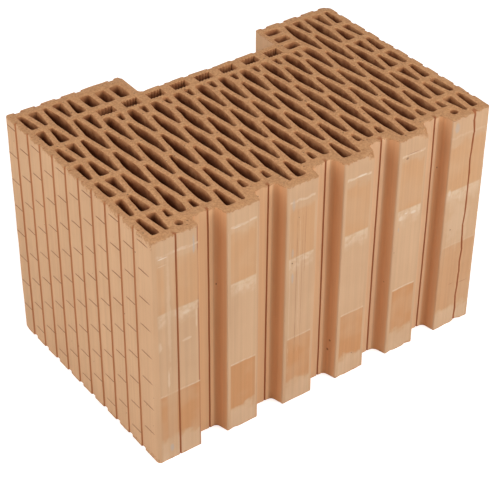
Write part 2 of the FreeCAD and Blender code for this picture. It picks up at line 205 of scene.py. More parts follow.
# Patches that the kiln left on the tongues: colour, the mask and the share that it is laid on with, and
# its lower and upper edge, each as a kind and its height and softness in millimetres.
PATCHES = (
    ("rust", "burnt", 1.0, ("rough", 24, 3), ("lower", 75.5, 0.8)),
    ("warm", "seen", 0.9, ("neat", 169.5, 1.2), ("rough", 222, 4)),
    ("pale", "bloom", 0.85, ("rough", 158, 10), ("neat", 169, 0.8)),
    ("pale", "rims", 0.8, ("lower", 75.8, 0.4), ("lower", 77.4, 0.5)),
    ("pale", "rims", 0.9, ("worn", 228.8, 0.6), ("worn", 231.2, 0.7)),
    ("pale", "seen", 0.3, ("level", -10, 1), ("rough", 21, 4)),
)

# How far the kinds of edges swing, how much the height of the patches varies from tongue to tongue, and
# how much higher the rust of the right corner reaches.
PATCH_EDGES = (("neat", 2 * MM), ("worn", 6 * MM), ("rough", 22 * MM))
PATCH_STEP = 4 * MM
RIGHT_RUST_RISE = 27 * MM

# Where a corner tongue begins, from the middle of the block, and the streaked strip of the left one.
CORNER_TONGUE = (140 * MM, 146 * MM)
STREAKED_STRIP = (-181 * MM, -176 * MM, -170 * MM, -167 * MM)

# The sides of a patch, painted shade on the flanks of a groove and on the right edge of a tongue, and a
# painted highlight on a strip of a groove's floor, as shares of the tongue pitch from the middle of a
# tongue.
PATCH_SIDE = (0.205, 0.225)
FLANK_SHADE_STRIP = (0.232, 0.30, 0.33, 0.375)
EDGE_SHADE_STRIP = (0.232, 0.242, 0.262, 0.27)
LEDGE_HIGHLIGHT_STRIP = (-0.426, -0.418, -0.385, -0.355)

# Soft edges of the ends, the tongue faces and the groove floors, from each of them inwards.
END_EDGE = (6 * MM, 2.5 * MM)
TONGUE_EDGE = (0.5 * MM, 2.5 * MM)
FLOOR_EDGE = (2 * MM, 4 * MM)

# The width of the camera's sensor, in millimetres, and the colours of the floor and the surround.
SENSOR = 36
PALE_GREY = (0.8, 0.8, 0.8, 1)
WHITE = (1, 1, 1, 1)

# Soft boxes: name, azimuth and elevation in degrees, distance and side in metres, power in watts.
LAMPS = (
    ("left_box", -88, 26, 1.9, 1.7, 27),
    ("front_box", 26, 32, 1.9, 1.3, 27.5),
    ("back_box", 172, 12, 2.2, 1.2, 20),
)


def length_prop(name, description, default):
    """A property that holds a length in metres."""
    return bpy.props.FloatProperty(
        name=name, description=description, default=default, unit="LENGTH", precision=5)


def colour_prop(name, description, default):
    """A property that holds a scene linear colour."""
    return bpy.props.FloatVectorProperty(
        name=name, description=description, default=default, size=3, subtype="COLOR", min=0, max=1)


def number_prop(name, description, default):
    """A property that holds a plain number."""
    return bpy.props.FloatProperty(name=name, description=description, default=default)


class ClayBlockSizes(bpy.types.PropertyGroup):
    """Sizes of the fired skin, in metres."""
    wall_step: length_prop("Wall step", "Longest step along the outline", 4.2 * MM)
    hole_step: length_prop("Hole step", "Longest step along the rim of a hole", 8 * MM)
    wall_soft: length_prop("Wall softness", "How far the corners of the outline are cut round", 0.7 * MM)
    hole_soft: length_prop("Hole softness", "How far the corners of a hole are cut round", 3 * MM)
    rim_round: length_prop("Rim", "Rounding of the outer rims at the two beds", 0.6 * MM)
    hole_rim: length_prop("Hole rim", "Rounding of the rims of the holes", 0.7 * MM)
    rim_wear: length_prop("Rim wear", "How much the worn rims vary", 0.4 * MM)
    sway: length_prop("Sway", "How far the webs wander from their true place", 0.45 * MM)
    tremble: length_prop("Tremble", "Short waves in the walls of the holes", 0.2 * MM)
    furrow_first: length_prop("First furrow", "First furrow of an end face from the back", 18.5 * MM)
    furrow_last: length_prop("Last furrow", "Last furrow of an end face from the front", 29.8 * MM)
    nick_length: length_prop("Nick length", "Length of a nick in an end face", 15 * MM)
    nick_width: length_prop("Nick width", "Half the mouth of a nick", 0.8 * MM)
    nick_depth: length_prop("Nick depth", "Depth of a nick", 0.6 * MM)
    nick_pitch: length_prop("Nick pitch", "From a nick to the next above it", 29.9 * MM)
    nick_low: length_prop("Lowest nick", "Lowest nick above the bed", 17 * MM)
    crack_sway: length_prop("Crack", "How far the torn line of the right corner wanders", 1.3 * MM)
    crack_place: length_prop("Crack place", "Torn line from the end face", 20 * MM)
    chip_size: length_prop("Chips", "Small chips along the outer rims", 1.6 * MM)
    tongue_pitch: length_prop("Tongue pitch", "From groove to groove of the front face", 64 * MM)
    groove_depth: length_prop("Groove depth", "From the tongue faces to the floor of a groove", 14 * MM)
    groove_mouth: length_prop("Groove mouth", "Half the width of a groove at its mouth", 14.9 * MM)
    groove_lean: length_prop("Groove lean", "Sideways run of a flank of a groove", 3 * MM)
    tongue_edge: length_prop("Tongue edge", "Rounding of a tongue edge", 1.2 * MM)
    groove_base: length_prop("Groove base", "Rounding between a groove's flank and floor", 4 * MM)


class ClayBlockColours(bpy.types.PropertyGroup):
    """Colours of the fired clay."""
    tan: colour_prop("Tan", "Fired face", (0.603, 0.370, 0.216))
    buff: colour_prop("Buff", "Paler clouds in the face", (0.643, 0.405, 0.240))
    clay: colour_prop("Clay", "Grooves, which the fire touched less", (0.600, 0.345, 0.180))
    warm: colour_prop("Warm", "Upper patches that stayed covered in the kiln", (0.615, 0.340, 0.172))
    rust: colour_prop("Rust", "Lower patches that stayed covered in the kiln", (0.575, 0.275, 0.118))
    pale: colour_prop("Pale", "Lime bloom along the patches", (0.720, 0.525, 0.355))
    lime: colour_prop("Lime", "Bright flecks of lime", (0.800, 0.650, 0.510))
    grey: colour_prop("Grey", "Grey smudges", (0.470, 0.410, 0.360))
    # Painted shade: the flanks of the grooves, painted darker and redder towards their base.
    flank_shade: colour_prop("Flank shade", "Flanks of the grooves", (0.600, 0.285, 0.125))
    # Partly the furrows' own colour and partly painted shade on their walls.
    line: colour_prop("Line", "Walls of furrows", (0.450, 0.165, 0.062))
    nick: colour_prop("Nick", "Nicks of the end faces", (0.260, 0.112, 0.052))
    # Also laid on as painted shade along the right edge of the left tongues.
    score_and_shade: colour_prop("Score and shade", "Fine lines and cracks of the front", (0.360, 0.110, 0.042))
    bed: colour_prop("Bed", "Ground bed", (0.560, 0.266, 0.116))
    grain: colour_prop("Grain", "Pale grit in the bed", (0.735, 0.394, 0.187))
    pit: colour_prop("Pit", "Pits and burnt specks", (0.160, 0.075, 0.038))
    # Painted shade in the holes: red brown below their rims, nearly black deeper inside.
    hole_shade: colour_prop("Hole shade", "Walls of the holes below their rims", (0.215, 0.052, 0.015))
    core: colour_prop("Deep hole shade", "Walls of the holes inside the block", (0.045, 0.007, 0.002))


class ClayBlockStage(bpy.types.PropertyGroup):
    """Camera, floor and light."""
    azimuth: number_prop("Azimuth", "Camera round the block, in degrees", -36.24)
    elevation: number_prop("Elevation", "Camera above the horizon, in degrees", 35.89)
    roll: number_prop("Roll", "Camera about its own line of sight, in degrees", 0.44)
    distance: length_prop("Distance", "Camera from the middle of the block", 1.5083)
    slide_right: length_prop("Slide right", "Camera to its right", -0.00204)
    slide_up: length_prop("Slide up", "Camera to its top", -0.02041)
    lens: number_prop("Lens", "Focal length in millimetres", 112.72)
    floor_size: length_prop("Floor", "Side of the floor", 6.0)
    floor_glow: number_prop("Floor glow", "Glow of the floor where the camera sees it", 0.67)
    sky_light: number_prop("Sky light", "Strength of the grey sky on the block", 0.09)


def section_rings():
    """Rings of the upper bed: the outline and every hole, as corners in order.

    The triangles that lie on the upper bed are kept. An edge that only one of them has runs along a
    ring, with the clay on its left. From each corner a jump leads to the next one; jumps that double
    in length find the lowest corner of each ring and the number of steps to it.
    Returns the corners and the number of each corner's ring.
    """
    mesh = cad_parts[NODE].data
    mesh.calc_loop_triangles()
    corners = np.empty(len(mesh.vertices) * 3)
    mesh.vertices.foreach_get("co", corners)
    corners = corners.reshape(-1, 3)
    triangles = np.empty(len(mesh.loop_triangles) * 3, np.int32)
    mesh.loop_triangles.foreach_get("vertices", triangles)
    triangles = triangles.reshape(-1, 3)

    on_top = (corners[triangles, 2] > HIGH[2] - CLOSE).all(axis=1)
    places, weld = np.unique(np.round(corners[:, :2] / CLOSE), axis=0, return_inverse=True)
    faces = weld.reshape(-1)[triangles[on_top]]
    edges = np.concatenate([faces[:, [0, 1]], faces[:, [1, 2]], faces[:, [2, 0]]])
    here = edges[:, 0] * len(places) + edges[:, 1]
    back = edges[:, 1] * len(places) + edges[:, 0]
    rim = edges[~np.isin(here, back)]
    rim = rim[np.argsort(rim[:, 0])]
    after = np.searchsorted(rim[:, 0], rim[:, 1])

    count = len(rim)
    doublings = math.ceil(math.log2(count))
    lowest = np.arange(count)
    jump = after
    for _ in range(doublings):
        lowest = np.minimum(lowest, lowest[jump])
        jump = jump[jump]
    is_root = lowest == np.arange(count)
    jump = np.where(is_root, np.arange(count), after)
    steps = np.where(is_root, 0, 1)
    for _ in range(doublings):
        steps = steps + steps[jump]
        jump = jump[jump]
    order = np.lexsort((-np.where(is_root, count, steps), lowest))
    ring = np.unique(lowest[order], return_inverse=True)[1].reshape(-1)
    return places[rim[order, 0]] * CLOSE, ring


def ring_steps(ring):
    """The place after each place, where ring gives each place's ring and rings are whole runs."""
    last = np.append(ring[1:] != ring[:-1], True)
    first = np.flatnonzero(np.append(True, last[:-1]))
    after = np.arange(len(ring)) + 1
    after[last] = first
    return after


def ring_neighbours(ring):
    """The place before and the place after each place, along its ring."""
    after = ring_steps(ring)
    before = np.empty_like(after)
    before[after] = np.arange(len(after))
    return before, after


def side_normals(side):
    """Unit vectors that point out of the clay, which lies on the left of each side."""
    return np.stack([side[:, 1], -side[:, 0]], axis=1) / np.hypot(side[:, 0], side[:, 1])[:, None]


def rounded(corners, ring, soft, share):
    """The rings with their corners cut round, and a mark on the walls of furrows and lines.

    A corner that is sharp, or bends between two long sides, becomes three places: one on each side and
    between them the middle of the curve that the corner pulls on. The cut is soft long at a square
    corner, longer at a blunt one, and at most a share of its side. A wall is a short side between a
    sharp turn into the clay and a sharp turn out of it; its two ends have the mark 1, and the middle
    of a curve has the mean mark of its two ends. All places of a corner share one outward direction,
    the mean of the normals of its two sides.
    Returns rows of x, y, mark and outward direction, and the number of each row's ring.
    """
    before, after = ring_neighbours(ring)
    side = corners[after] - corners
    length = np.hypot(*side.T)
    unit = side / length[:, None]
    sine = unit[before, 0] * unit[:, 1] - unit[before, 1] * unit[:, 0]
    turn = np.arctan2(sine, (unit[before] * unit).sum(axis=1))
    inwards = turn < -SHARP
    outwards = turn > SHARP
    wall = (inwards & outwards[after]) | (outwards & inwards[after])
    wall &= length < FURROW_WALL
    long_side = length > LONG_SIDE * soft
    bend = (np.abs(turn) > BEND) & long_side & long_side[before]
    cut = inwards | outwards | bend

    reach = soft / np.sin(np.clip(np.abs(turn), BEND, math.pi / 2))
    first = corners - unit[before] * np.minimum(reach, share * length[before])[:, None]
    last = corners + unit * np.minimum(reach, share * length)[:, None]
    middle = np.where(cut[:, None], (first + 2 * corners + last) / 4, corners)
    marks = np.stack([wall[before], (wall[before] + 1.0 * wall) / 2, wall], axis=1)
    marks[~cut] = 0
    outward = side_normals(side) + side_normals(side[before])
    outward /= np.hypot(*outward.T)[:, None]
    outward = np.repeat(outward[:, None], 3, axis=1)
    rows = np.concatenate([np.stack([first, middle, last], axis=1), marks[..., None], outward], axis=2)
    kept = np.stack([cut, np.ones_like(cut), cut], axis=1)
    return rows[kept], np.repeat(ring, kept.sum(axis=1))


def divided(rows, ring, step):
    """The rings with each side cut into equal parts no longer than its step; corners stay."""
    after = ring_steps(ring)
    side = rows[after] - rows
    parts = np.maximum(np.ceil(np.hypot(side[:, 0], side[:, 1]) / step), 1).astype(int)
    owner = np.repeat(np.arange(len(rows)), parts)
    along = np.arange(len(owner)) - np.repeat(np.cumsum(parts) - parts, parts)
    share = along / parts[owner]
    cut = rows[owner] + side[owner] * share[:, None]
    cut[along > 0, 3:] = side_normals(side)[owner[along > 0]]
    return cut, ring[owner]


def calmed(rows, ring, reach):
    """The rings with outward directions that close neighbours share, so that rims don't cross.

    Each direction becomes the mean of itself and its two neighbours, over and over; a neighbour's share
    falls off with its distance as exp(-distance / reach).
    """
    before, after = ring_neighbours(ring)
    share = np.exp(-np.hypot(*(rows[after, :2] - rows[:, :2]).T) / reach)[:, None]
    outward = rows[:, 3:]
    for _ in range(CALMING):
        outward = outward + share * outward[after] + share[before] * outward[before]
        outward /= np.hypot(*outward.T)[:, None]
    return np.concatenate([rows[:, :3], outward], axis=1)


def steepened(rows, ring, sizes):
    """The outline with the flanks of its grooves drawn steep.

    A place on a flank, or at one of its two ends, moves along X. Its new distance from the middle of its
    groove is half the mouth, less the lean times its share of the depth, plus the rounding of the tongue
    edge near the mouth, less the rounding of the base near the floor.
    """
    before, after = ring_neighbours(ring)
    depth = rows[:, 1] - LOW[1]
    flank = (depth > CLOSE) & (depth < sizes.groove_depth - CLOSE)
    flank = (flank | flank[after] | flank[before]) & (depth < sizes.groove_depth + CLOSE)
    middle = sizes.tongue_pitch * np.round(rows[:, 0] / sizes.tongue_pitch)
    flank &= np.abs(middle) < GROOVES / 2 * sizes.tongue_pitch
    flank &= np.abs(rows[:, 0] - middle) < GROOVE_REACH * sizes.groove_mouth
    away = sizes.groove_mouth - sizes.groove_lean * depth / sizes.groove_depth
    away += rim_setback(depth, sizes.tongue_edge)
    away -= rim_setback(sizes.groove_depth - depth, sizes.groove_base)
    steep = rows.copy()
    steep[flank, 0] = (middle + np.sign(rows[:, 0] - middle) * away)[flank]
    return steep


def ripple(places, span, seed, waves=14):
    """Smooth noise, about -1 to 1: a sum of plane waves, 0.6 to 1.7 spans long, in seeded directions."""
    draw = np.random.default_rng(seed)
    heading = draw.normal(size=(waves, places.shape[-1]))
    heading /= np.linalg.norm(heading, axis=1, keepdims=True)
    heading *= 2 * math.pi / (span * draw.uniform(0.6, 1.7, size=(waves, 1)))
    phase = draw.uniform(0, 2 * math.pi, waves)
    return np.sin(places @ heading.T + phase).sum(axis=-1) / math.sqrt(waves)


def grid_places(rim, levels):
    """A ring's places repeated at every level: an array of levels by places by three."""
    grid = np.empty((len(levels), len(rim), 3))
    grid[:, :, :2] = rim
    grid[:, :, 2] = np.asarray(levels)[:, None]
    return grid


def bed_gap(grid):
    """How far each point lies from the nearer bed."""
    return np.minimum(grid[..., 2] - LOW[2], HIGH[2] - grid[..., 2])


def rim_setback(gap, radius):
    """How far a rounded rim stands back: a quarter circle of the radius, nothing past it."""
    inside = np.clip(1 - gap / radius, 0, 1)
    return radius * (1 - np.sqrt(1 - inside ** 2))


def furrow_places(sizes):
    """Places along Y of the furrows of an end face, and of one more strip at the front corner."""
    first = HIGH[1] - sizes.furrow_first
    last = LOW[1] + sizes.furrow_last
    pitch = (first - last) / (FURROWS - 1)
    return first - pitch * np.arange(FURROWS + 1)


def nick_levels(sizes):
    """Heights of the nicks: one row for even strips, and one row half a pitch lower for odd ones."""
    count = int((HEIGHT - sizes.nick_low) / sizes.nick_pitch) + 1
    odd = LOW[2] + sizes.nick_low + sizes.nick_pitch * np.arange(count)
    return odd + sizes.nick_pitch / 2, odd


def wall_levels(sizes):
    """Levels of the outer wall: close rows at the beds, three rows for each nick."""
    even, odd = nick_levels(sizes)
    nicks = np.concatenate([even, odd])[:, None] + sizes.nick_width * np.array([-1, 0, 1])
    levels = np.concatenate([LOW[2] + RIM_LEVELS, HIGH[2] - RIM_LEVELS, nicks.ravel()])
    levels = np.unique(np.round(levels, 6))
    levels = levels[(levels >= LOW[2]) & (levels <= HIGH[2])]
    return levels[np.append(True, np.diff(levels) > LEVEL_GAP)]


def nick_depth(rim, levels, sizes):
    """Depth of the nicks, 0 to 1: a V across its level, blunt at both ends, some fainter than others.

    Returns an array of levels by places of the rim.
    """
    draw = np.random.default_rng(41)
    on_end = np.abs(rim[:, 0]) > HIGH[0] - MM
    depth = np.zeros((len(levels), len(rim)))
    rows = nick_levels(sizes)
    for number, place in enumerate(furrow_places(sizes)):
        along = rim[:, 1] - place
        ends = np.clip(np.minimum(along, sizes.nick_length - along) / NICK_END + 0.5, 0, 1)
        gap = np.abs(levels[:, None] - rows[number % 2])
        power = draw.uniform(NICK_FAINTEST, 1, gap.shape[1])[gap.argmin(axis=1)]
        across = power * np.clip(1 - gap.min(axis=1) / sizes.nick_width, 0, 1)
        depth = np.maximum(depth, across[:, None] * (on_end * ends))
    return depth


def chip_push(grid, outward, sizes):
    """How far and which way the chips push points in, as an array of steps along X and Y.

    Small bites along the rims go in against the outward direction. A listed chip is a round dish that
    goes in one way all over, against the outward direction at its middle, and gets shallower away
    from its bed.
    """
    gap = bed_gap(grid)
    rim = grid.copy()
    rim[..., 2] = np.round((grid[..., 2] - LOW[2]) / HEIGHT)
    bites = np.clip(ripple(rim, BITE_WAVE, seed=21) - BITE_LEVEL, 0, 1) * sizes.chip_size
    push = -outward * np.clip(bites - gap * BITE_SLOPE, 0, None)[..., None]
    for x, y, bed, width, deep in CHIPS:
        along = np.hypot(grid[..., 0] - x * MM, grid[..., 1] - y * MM) / (width * MM)
        rough = 1 + CHIP_ROUGHNESS * ripple(grid, CHIP_WAVE, seed=int(abs(x)) + 7)
        dish = deep * MM * np.clip(1 - along ** 2, 0, 1) * rough - gap * CHIP_SLOPE
        dish = np.where(rim[..., 2] == bed, np.clip(dish, 0, None), 0)
        push = push - outward[along[0].argmin()] * dish[..., None]
    return push


def outer_wall(rows, sizes):
    """The outer wall: the outline carried up the block, set back at its rims, nicked and chipped.

    A point goes in, against its outward direction, by the rounding of its rim, whose radius wanders,
    plus the depth of a nick and a slow dip of the face. The chips push it further in. Beside the torn
    line of the right corner it also moves along X, by waves along Z that fade out to both sides.
    Returns the grid of points, and how much each belongs to a line, to a nick and to a chip, 0 to 1.
    """
    rim = rows[:, :2]
    outward = rows[:, 3:]
    levels = wall_levels(sizes)
    grid = grid_places(rim, levels)
    radius = sizes.rim_round + sizes.rim_wear * np.clip(ripple(grid, RIM_WAVE, seed=3), *RIM_SWING)
    chips = chip_push(grid, outward, sizes)
    nicks = nick_depth(rim, levels, sizes)
    setback = rim_setback(bed_gap(grid), radius) + sizes.nick_depth * nicks
    setback += FACE_DIP * (1 + ripple(grid, FACE_WAVE, seed=5))

    crack = HIGH[0] - sizes.crack_place
    near = np.clip(1 - np.abs(grid[..., 0] - crack) / CRACK_SIDE, 0, 1)
    near *= grid[..., 1] < LOW[1] + CRACK_DEPTH
    tear = sum(share * ripple(grid[..., 2:], span, seed) for share, span, seed in CRACK_WAVES)
    grid[..., 0] += near * sizes.crack_sway * tear

    lines = np.broadcast_to(rows[:, 2], nicks.shape)
    grid[..., :2] += chips - outward * setback[..., None]
    return grid, lines, nicks, np.clip(np.linalg.norm(chips, axis=-1) / MM, 0, 1)


def hole_walls(rows, sizes):
    """The walls of all holes: their rims carried up the block, rounded and worn at both beds.

    A point goes back into the clay, against its outward direction, by the rounding of its rim, whose
    radius wanders, plus short waves that are drawn out along Z.
    """
    rim = rows[:, :2]
    outward = rows[:, 3:]
    middle = (LOW[2] + HIGH[2]) / 2
    levels = np.concatenate([LOW[2] + HOLE_LEVELS, [middle], HIGH[2] - HOLE_LEVELS[::-1]])
    grid = grid_places(rim, levels)
    wear = np.clip(ripple(grid, HOLE_RIM_WAVE, seed=13), *HOLE_SWING)
    setback = rim_setback(bed_gap(grid), sizes.hole_rim + sizes.rim_wear * wear)
    setback += sizes.tremble * ripple(grid * TREMBLE_SCALE, TREMBLE_WAVE, seed=17)
    grid[..., :2] -= outward * setback[..., None]
    return grid


def swayed(grid, sizes):
    """Webs that wander: a smooth push along X and Y that fades out towards the faces of the block."""
    slow = grid * WEB_SCALE
    depth = np.minimum(grid[..., :2] - LOW[:2], HIGH[:2] - grid[..., :2]).min(axis=-1)
    fade = np.clip(depth / SWAY_DEPTH, 0, 1)
    grid[..., 0] += sizes.sway * fade * ripple(slow, WEB_WAVE, seed=31)
    grid[..., 1] += sizes.sway * fade * ripple(slow, WEB_WAVE, seed=32)
    return np.clip(grid, LOW, HIGH)


def wall_quads(levels, after, start):
    """Quads between the rows of a wall whose first point has this number."""
    count = len(after)
    row = start + np.arange(levels - 1)[:, None] * count
    low = row + np.arange(count)
    low_next = row + after
    return np.stack([low, low_next, low_next + count, low + count], axis=-1).reshape(-1, 4)


def bed_triangles(places, ring):
    """Triangles between the outline and the holes of a bed, seen from above."""
    points = [Vector(place) for place in places]
    breaks = np.flatnonzero(np.diff(ring)) + 1
    rings = [part.tolist() for part in np.split(np.arange(len(ring)), breaks)]
    result = delaunay_2d_cdt(points, [], rings, INSIDE_WITH_HOLES, CLOSE / 10)
    if len(result[0]) != len(places):
        raise RuntimeError("the rims of a bed run into each other")
    names = np.array([source[0] for source in result[3]])
    faces = names[np.array(result[2])]
    a, b, c = (places[faces[:, side]] for side in range(3))
    area = (b[:, 0] - a[:, 0]) * (c[:, 1] - a[:, 1]) - (b[:, 1] - a[:, 1]) * (c[:, 0] - a[:, 0])
    return np.where((area > 0)[:, None], faces, faces[:, ::-1])


def add_object(name, data):
    """A new object of the scene with this data."""
    item = bpy.data.objects.new(name, data)
    bpy.context.scene.collection.objects.link(item)
    return item


def add_mesh(name, points, quads, triangles, marks, material):
    """A mesh object at the origin from whole arrays of points, faces and named point values."""
    mesh = bpy.data.meshes.new(name)
    sizes = np.concatenate([np.full(len(quads), 4), np.full(len(triangles), 3)])
    corners = np.concatenate([quads.ravel(), triangles.ravel()])
    mesh.vertices.add(len(points))
    mesh.vertices.foreach_set("co", points.astype(np.float32).ravel())
    mesh.loops.add(len(corners))
    mesh.loops.foreach_set("vertex_index", corners.astype(np.int32))
    mesh.polygons.add(len(sizes))
    mesh.polygons.foreach_set("loop_start", (np.cumsum(sizes) - sizes).astype(np.int32))
    mesh.polygons.foreach_set("use_smooth", np.ones(len(sizes), bool))
    mesh.update(calc_edges=True)
    for mark, values in marks.items():
        mesh.attributes.new(mark, "FLOAT", "POINT").data.foreach_set("value", values.astype(np.float32))
    mesh.set_sharp_from_angle(angle=SHARP_EDGE)
    mesh.materials.append(material)
    return add_object(name, mesh)


def block_skin(sizes, material):
    """The whole skin of the block: outer wall, walls of the holes and two beds, closed."""
    corners, ring = section_rings()
    outline = ring == ring[np.argmin(corners[:, 0])]
    rim, rim_ring = rounded(corners[outline], ring[outline], sizes.wall_soft, WALL_SHARE)
    rim, rim_ring = divided(rim, rim_ring, sizes.wall_step)
    rim = calmed(steepened(rim, rim_ring, sizes), rim_ring, sizes.wall_soft)
    holes, hole_ring = rounded(corners[~outline], ring[~outline], sizes.hole_soft, HOLE_SHARE)
    holes, hole_ring = divided(holes, hole_ring, sizes.hole_step)

    wall, lines, nicks, broken = outer_wall(rim, sizes)
    inner = hole_walls(holes, sizes)
    wall = swayed(wall, sizes)
    inner = swayed(inner, sizes)
    wall_count = wall.shape[0] * wall.shape[1]
    quads = np.concatenate([
        wall_quads(wall.shape[0], ring_steps(rim_ring), 0),
        wall_quads(inner.shape[0], ring_steps(hole_ring), wall_count),
    ])

    wall_names = np.arange(wall_count).reshape(wall.shape[:2])
    hole_names = wall_count + np.arange(inner.shape[0] * inner.shape[1]).reshape(inner.shape[:2])
    bed_ring = np.concatenate([np.full(len(rim), -1), hole_ring])
    beds = []
    for row, flip in ((-1, 1), (0, -1)):
        names = np.concatenate([wall_names[row], hole_names[row]])
        places = np.concatenate([wall[row, :, :2], inner[row, :, :2]])
        beds.append(names[bed_triangles(places, bed_ring)[:, ::flip]])

    bed_wall = np.clip(1 - bed_gap(wall) / BED_ON_WALL, 0, 1)
    bed_hole = np.clip(1 - bed_gap(inner) / BED_IN_HOLE, 0, 1)
    nothing = np.zeros(inner.shape[:2])
    pairs = {
        "bed": (bed_wall, bed_hole),
        "hole": (np.zeros(wall_count), nothing + 1),
        "line": (lines, nothing),
        "nick": (nicks, nothing),
        "broken": (broken, nothing),
    }
    marks = {name: np.concatenate([part.ravel() for part in pair]) for name, pair in pairs.items()}
    points = np.concatenate([wall.reshape(-1, 3), inner.reshape(-1, 3)])
    return add_mesh("clay_skin", points, quads, np.concatenate(beds), marks, material)


class Wiring:
    """Short calls that add nodes to a material and wire them up."""

    def __init__(self, tree):
        self.tree = tree

    def feed(self, node, feeds):
        """Set inputs of a node to plain values, or link them to other sockets."""
        for name, value in feeds.items():
            if isinstance(value, bpy.types.NodeSocket):
                self.tree.links.new(value, node.inputs[name])
            else:
                node.inputs[name].default_value = value

    def node(self, kind, feeds=None, **settings):
        """A new node with its settings and feeds."""
        node = self.tree.nodes.new(kind)
        for name, value in settings.items():
            setattr(node, name, value)
        self.feed(node, feeds or {})
        return node

    def maths(self, operation, first, second=0.0, third=0.0):
        """The result of one operation on one, two or three numbers."""
        feeds = {0: first, 1: second, 2: third}
        return self.node("ShaderNodeMath", feeds, operation=operation).outputs[0]

    def fade(self, value, low, high, to_low=0.0, to_high=1.0):
        """A value that goes smoothly from to_low at low to to_high at high."""
        feeds = {"Value": value, "From Min": low, "From Max": high, "To Min": to_low, "To Max": to_high}
        return self.node("ShaderNodeMapRange", feeds, interpolation_type="SMOOTHSTEP").outputs[0]

    def mixed(self, share, first, second):
        """A colour between two colours."""
        node = self.node("ShaderNodeMix", {0: share, 6: first, 7: second}, data_type="RGBA")
        return node.outputs[2]

    def mark(self, name):
        """A point value of the mesh."""
        return self.node("ShaderNodeAttribute", attribute_name=name).outputs["Fac"]

    def seen(self):
        """1 for what the camera sees, straight or by way of gloss or glass, and 0 for other light."""
        rays = self.node("ShaderNodeLightPath").outputs
        straight = self.maths("MAXIMUM", rays["Is Camera Ray"], rays["Is Glossy Ray"])
        return self.maths("MAXIMUM", straight, rays["Is Transmission Ray"])


class ClayNodes(Wiring):
    """Nodes of the fired clay, with its coordinates, its colours and the parts of its front."""

    def __init__(self, tree, colours, sizes):
        super().__init__(tree)
        self.colours = colours
        self.coords = self.node("ShaderNodeTexCoord").outputs["Object"]
        self.x, self.y, self.z = self.node("ShaderNodeSeparateXYZ", {0: self.coords}).outputs
        end = float(HIGH[0])
        face_line = float(LOW[1])
        floor_line = face_line + sizes.groove_depth
        self.from_middle = self.maths("ABSOLUTE", self.x)
        self.ends = self.fade(self.from_middle, *(end - edge for edge in END_EDGE))
        off_ends = self.maths("SUBTRACT", 1.0, self.ends)
        tongues = self.fade(self.y, *(face_line + edge for edge in TONGUE_EDGE), 1, 0)
        worked = self.fade(self.y, *(floor_line + edge for edge in FLOOR_EDGE), 1, 0)
        self.front = self.both(off_ends, tongues)
        self.worked = self.both(off_ends, worked)
        self.groove = self.maths("SUBTRACT", self.worked, self.front)
        step = self.maths("DIVIDE", self.x, sizes.tongue_pitch)
        self.tongue = self.maths("FLOOR", step)
        self.sideways = self.maths("SUBTRACT", self.maths("FRACT", step), 0.5)
        self.aside = self.maths("ABSOLUTE", self.sideways)
        self.ragged = self.maths("SUBTRACT", self.noise(90, 3), 0.5)

    def stretched(self, scale, shift=(0, 0, 0)):
        """The block's coordinates scaled along each axis and then shifted."""
        feeds = {"Vector": self.coords, "Scale": scale, "Location": shift}
        return self.node("ShaderNodeMapping", feeds).outputs[0]

    def noise(self, scale, detail=2.0, roughness=0.5, coords=None):
        """Smooth noise about 0.5, in the block's or in other coordinates."""
        coords = self.coords if coords is None else coords
        feeds = {"Vector": coords, "Scale": scale, "Detail": detail, "Roughness": roughness}
        return self.node("ShaderNodeTexNoise", feeds).outputs[0]

    def cells(self, scale):
        """A Voronoi pattern's distance to its points, and a random number for each cell."""
        node = self.node("ShaderNodeTexVoronoi", {"Vector": self.coords, "Scale": scale})
        parts = self.node("ShaderNodeSeparateColor", {0: node.outputs["Color"]})
        return node.outputs["Distance"], parts.outputs[0]

    def both(self, first, second):
        """The product of two shares."""
        return self.maths("MULTIPLY", first, second)

    def tone(self, name):
        """One of the clay's colours."""
        return (*getattr(self.colours, name), 1.0)

    def paint(self, surface, share, name):
        """A surface with a share of one of the colours laid over it."""
        return self.mixed(share, surface, self.tone(name))

    def scaled(self, surface, level):
        """A surface whose colour is multiplied by a level."""
        spread = self.node("ShaderNodeCombineXYZ", {0: level, 1: level, 2: level}).outputs[0]
        return self.node("ShaderNodeVectorMath", {0: surface, 1: spread}, operation="MULTIPLY").outputs[0]

    def strip(self, value, low, low_end, high, high_end):
        """A strip of a value: 0 to 1 between low and low_end, and back between high and high_end."""
        return self.both(self.fade(value, low, low_end), self.fade(value, high, high_end, 1, 0))

    def edge(self, value, height, soft, to_low=0.0, to_high=1.0):
        """A fade about a height in millimetres, with the same softness below and above it."""
        return self.fade(value, (height - soft) * MM, (height + soft) * MM, to_low, to_high)

    def spot(self, x, z, half_wide, half_high):
        """A ragged oval on the front or in its grooves: 1 in its middle and 0 outside it."""
        scale = (1 / (half_wide * MM), 0, 1 / (half_high * MM))
        oval = self.stretched(scale, (-x / half_wide, 0, -z / half_high))
        away = self.node("ShaderNodeVectorMath", {0: oval}, operation="LENGTH").outputs["Value"]
        away = self.maths("MULTIPLY_ADD", self.ragged, 1.6, away)
        return self.both(self.worked, self.fade(away, 0.4, 1, 1, 0))


